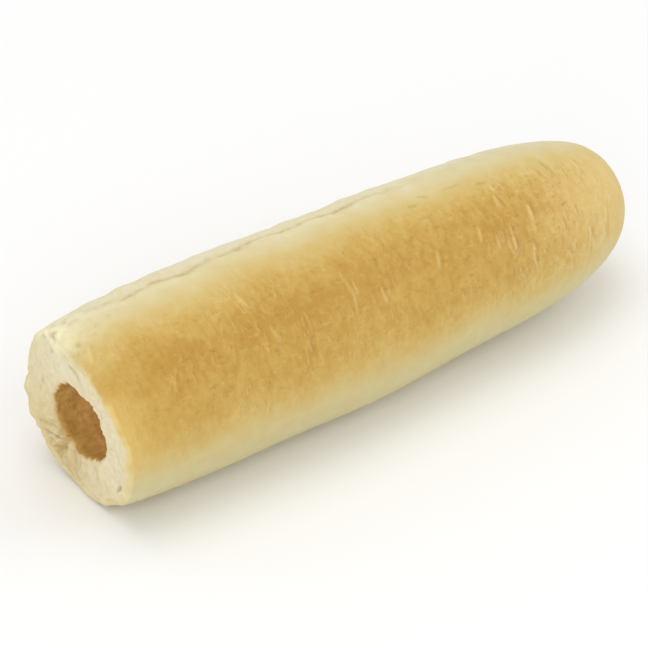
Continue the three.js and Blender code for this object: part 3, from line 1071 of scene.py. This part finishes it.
class Nodes:
    """Short calls for a material's node tree."""

    def __init__(self, material):
        material.use_nodes = True
        self.tree = material.node_tree
        self.tree.nodes.clear()
        self.place = self.add("ShaderNodeTexCoord").outputs["Object"]

    def add(self, kind, settings=None, **inputs):
        node = self.tree.nodes.new(kind)
        for name, value in (settings or {}).items():
            setattr(node, name, value)
        for name, value in inputs.items():
            self.put(node.inputs[name.replace("_", " ")], value)
        return node

    def put(self, socket, value):
        if isinstance(value, bpy.types.NodeSocket):
            self.tree.links.new(value, socket)
        else:
            socket.default_value = value

    def math(self, operation, first, second):
        node = self.add("ShaderNodeMath", {"operation": operation})
        self.put(node.inputs[0], first)
        self.put(node.inputs[1], second)
        return node.outputs[0]

    def times(self, first, second):
        return self.math("MULTIPLY", first, second)

    def plus(self, first, second):
        return self.math("ADD", first, second)

    def swing(self, value, amount):
        """A value about one half, as a swing of the given amount about zero."""
        return self.times(self.math("SUBTRACT", value, 0.5), amount)

    def between(self, value, low, high):
        node = self.add("ShaderNodeMapRange", {"interpolation_type": "SMOOTHSTEP"})
        self.put(node.inputs["Value"], value)
        self.put(node.inputs["From Min"], low)
        self.put(node.inputs["From Max"], high)
        return node.outputs["Result"]

    def blend(self, share, first, second, how="MIX"):
        node = self.add("ShaderNodeMix", {"data_type": "RGBA", "blend_type": how})
        self.put(node.inputs["Factor"], share)
        self.put(node.inputs["A"], first)
        self.put(node.inputs["B"], second)
        return node.outputs["Result"]

    def ramp(self, value, stops):
        node = self.add("ShaderNodeValToRGB", Fac=value)
        elements = node.color_ramp.elements
        while len(elements) < len(stops):
            elements.new(0.5)
        for element, (position, colour) in zip(elements, stops):
            element.position = position
            element.color = colour
        return node.outputs["Color"]

    def screen_ramp(self, value, stops):
        return self.ramp(value, [(position, linear(*colour)) for position, colour in stops])

    def coats(self, colour, coats, patterns):
        """Lays coats on a colour in turn: pattern, strength, way and colour of each."""
        for name, strength, way, tone in coats:
            tone = linear(*tone) if way == PAINT else (*tone, 1.0)
            colour = self.blend(self.times(patterns[name], strength), colour, tone, way)
        return colour

    def noise(self, place, scale, detail=2.0, roughness=0.5, distortion=0.0):
        node = self.add("ShaderNodeTexNoise", Vector=place, Scale=scale, Detail=detail, Roughness=roughness)
        node.inputs["Distortion"].default_value = distortion
        return node.outputs["Fac"]

    def pattern(self, along, round_girth, detail, roughness, distortion, shift=0.0):
        """Unevenness with its own cells along and round the roll."""
        cells = (along, round_girth, round_girth)
        stretched = self.add("ShaderNodeMapping", Vector=self.place, Location=(shift, 0, 0), Scale=cells)
        return self.noise(stretched.outputs[0], 1, detail, roughness, distortion)

    def attribute(self, name):
        return self.add("ShaderNodeAttribute", {"attribute_name": name}).outputs["Fac"]


def fold_patterns(nodes, wrinkle):
    """Ridges, with a painted highlight, and the painted shadow beside each: small folds in patches all over,
    larger ones at the far end.
    """
    patches = nodes.between(nodes.noise(nodes.place, *PATCHES), *PATCH_LEVELS)
    patches = nodes.times(patches, wrinkle)
    far_end = nodes.times(nodes.between(wrinkle, *FAR_END_LEVELS), FAR_END_FOLDS)
    totals = {"ridges_and_highlight": 0.0, "crease_shadows": 0.0}
    for folds, where in ((FOLDS, patches), (SMALL_FOLDS, patches), (LARGE_FOLDS, far_end)):
        for name, shift in (("ridges_and_highlight", 0.0), ("crease_shadows", CREASE_SHADOW_SHIFT)):
            height = nodes.between(nodes.pattern(*folds, shift), *FOLD_LEVELS)
            totals[name] = nodes.plus(totals[name], nodes.times(height, where))
    return totals


def crust_colour(nodes, patterns, crinkles):
    """Golden crust with its mottling, wrinkles, specks and strands, and its painted highlights and shadows.
    """
    wrinkle = patterns["wrinkle"]
    mottle = nodes.pattern(*MOTTLE)
    detail = nodes.plus(nodes.swing(crinkles, CRINKLE_SWING), nodes.swing(mottle, WRINKLED_MOTTLE_SWING))
    detail = nodes.plus(detail, nodes.swing(nodes.pattern(*STREAKS), STREAK_SWING))
    browning = nodes.plus(patterns["bake"], nodes.swing(mottle, MOTTLE_SWING))
    browning = nodes.plus(browning, nodes.times(detail, wrinkle))

    specks = nodes.pattern(*SPECKS)
    dark = nodes.times(nodes.between(specks, *DARK_LEVELS), nodes.between(patterns["bake"], *DARK_BAKE))
    light = nodes.between(specks, *LIGHT_LEVELS)
    specked = {"dark_specks": nodes.times(dark, wrinkle), "light_specks": nodes.times(light, wrinkle)}
    return nodes.coats(nodes.screen_ramp(browning, CRUST_COLOURS), CRUST_COATS, patterns | specked)


def toast_colour(nodes, deep):
    """Toasted wall of the hole, darkened by painted shade just inside its mouth, since less light falls on
    the deeper part.
    """
    toast = nodes.screen_ramp(nodes.pattern(*TOAST_GRAIN), TOAST_COLOURS)
    return nodes.blend(deep, nodes.blend(1.0, toast, INNER_MOUTH_SHADE, STAIN_AND_SHADE), toast)


def bread_material():
    material = bpy.data.materials.new("bread")
    nodes = Nodes(material)
    patterns = {name: nodes.attribute(name) for name in shares}
    wrinkle = patterns["wrinkle"]
    soft = patterns["crumb"]
    patterns |= fold_patterns(nodes, wrinkle)
    crinkles = nodes.pattern(*CRINKLES)
    crumb_grain = nodes.noise(nodes.place, *CRUMB_PATTERN)

    crust = crust_colour(nodes, patterns, crinkles)
    crumb = nodes.coats(nodes.screen_ramp(crumb_grain, CRUMB_COLOURS), CRUMB_COATS, patterns)
    colour = nodes.coats(nodes.blend(soft, crust, crumb), SKIN_COATS, patterns)
    # Painted shade in the hollows, browner on the crumb
    hollow = nodes.blend(soft, CRUST_HOLLOW_SHADE, CRUMB_HOLLOW_SHADE)
    colour = nodes.blend(patterns["shade"], colour, hollow, STAIN_AND_SHADE)
    colour = nodes.blend(patterns["toast"], colour, toast_colour(nodes, patterns["deep"]))

    height = nodes.times(patterns["ridges_and_highlight"], RIDGE_HEIGHT)
    height = nodes.plus(height, nodes.times(crinkles, CRINKLE_HEIGHT))
    grain = nodes.noise(nodes.place, *FINE_GRAIN)
    height = nodes.plus(nodes.times(height, wrinkle), nodes.times(grain, GRAIN_HEIGHT))
    height = nodes.plus(height, nodes.times(nodes.times(crumb_grain, CRUMB_HEIGHT), soft))
    bump = nodes.add("ShaderNodeBump", Strength=BUMP_STRENGTH, Distance=MM, Height=height).outputs[0]
    rough = nodes.plus(CRUST_ROUGHNESS, nodes.times(soft, CRUMB_ROUGHNESS_MORE))
    shader = nodes.add("ShaderNodeBsdfPrincipled", Base_Color=colour, Roughness=rough, Normal=bump)
    shader.inputs["Specular IOR Level"].default_value = SPECULAR_LEVEL
    nodes.add("ShaderNodeOutputMaterial", Surface=shader.outputs[0])
    return material


bun.data.materials.append(bread_material())
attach(bun, "root")
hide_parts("bun")


# Studio: pale floor, soft light from all round and from above


def floor_material():
    material = bpy.data.materials.new("studio_floor")
    nodes = Nodes(material)
    tone = nodes.ramp(nodes.noise(nodes.place, FLOOR_CELLS), FLOOR_TONES)
    shader = nodes.add("ShaderNodeBsdfPrincipled", Base_Color=tone, Roughness=FLOOR_ROUGHNESS)
    nodes.add("ShaderNodeOutputMaterial", Surface=shader.outputs[0])
    return material


floor_corners = [(FLOOR_HALF * x, FLOOR_HALF * y, 0) for x, y in ((-1, -1), (1, -1), (1, 1), (-1, 1))]
floor_mesh = bpy.data.meshes.new("studio_floor")
floor_mesh.from_pydata(floor_corners, [], [(0, 1, 2, 3)])
floor_mesh.materials.append(floor_material())
floor = bpy.data.objects.new("studio_floor", floor_mesh)
bpy.context.scene.collection.objects.link(floor)

world = bpy.data.worlds.new("studio")
world.use_nodes = True
room = world.node_tree.nodes["Background"]
room.inputs["Color"].default_value = ROOM_COLOUR
room.inputs["Strength"].default_value = ROOM_STRENGTH
bpy.context.scene.world = world

for name, (position, size, power) in LIGHTS.items():
    lamp = bpy.data.lights.new(name, "AREA")
    lamp.size = size
    lamp.energy = power
    light = bpy.data.objects.new(name, lamp)
    light.location = position
    light.rotation_euler = (Vector(LIGHT_AIM) - Vector(position)).to_track_quat("-Z", "Y").to_euler()
    bpy.context.scene.collection.objects.link(light)

# Camera

backward = Vector(
    (
        math.sin(AZIMUTH) * math.cos(ELEVATION),
        -math.cos(AZIMUTH) * math.cos(ELEVATION),
        math.sin(ELEVATION),
    )
)
rightward = Vector((math.cos(AZIMUTH), math.sin(AZIMUTH), 0))
aim = Vector((0, 0, AIM_HEIGHT)) + AIM_RIGHT * rightward + AIM_UP * backward.cross(rightward)
camera_data = bpy.data.cameras.new("camera")
camera_data.lens = FOCAL_LENGTH
camera_data.sensor_width = SENSOR_WIDTH
camera = bpy.data.objects.new("camera", camera_data)
camera.location = aim + CAMERA_DISTANCE * backward
camera.rotation_euler = (-backward).to_track_quat("-Z", "Y").to_euler()
bpy.context.scene.collection.objects.link(camera)
bpy.context.scene.camera = camera
bpy.context.scene.view_settings.view_transform = "Standard"
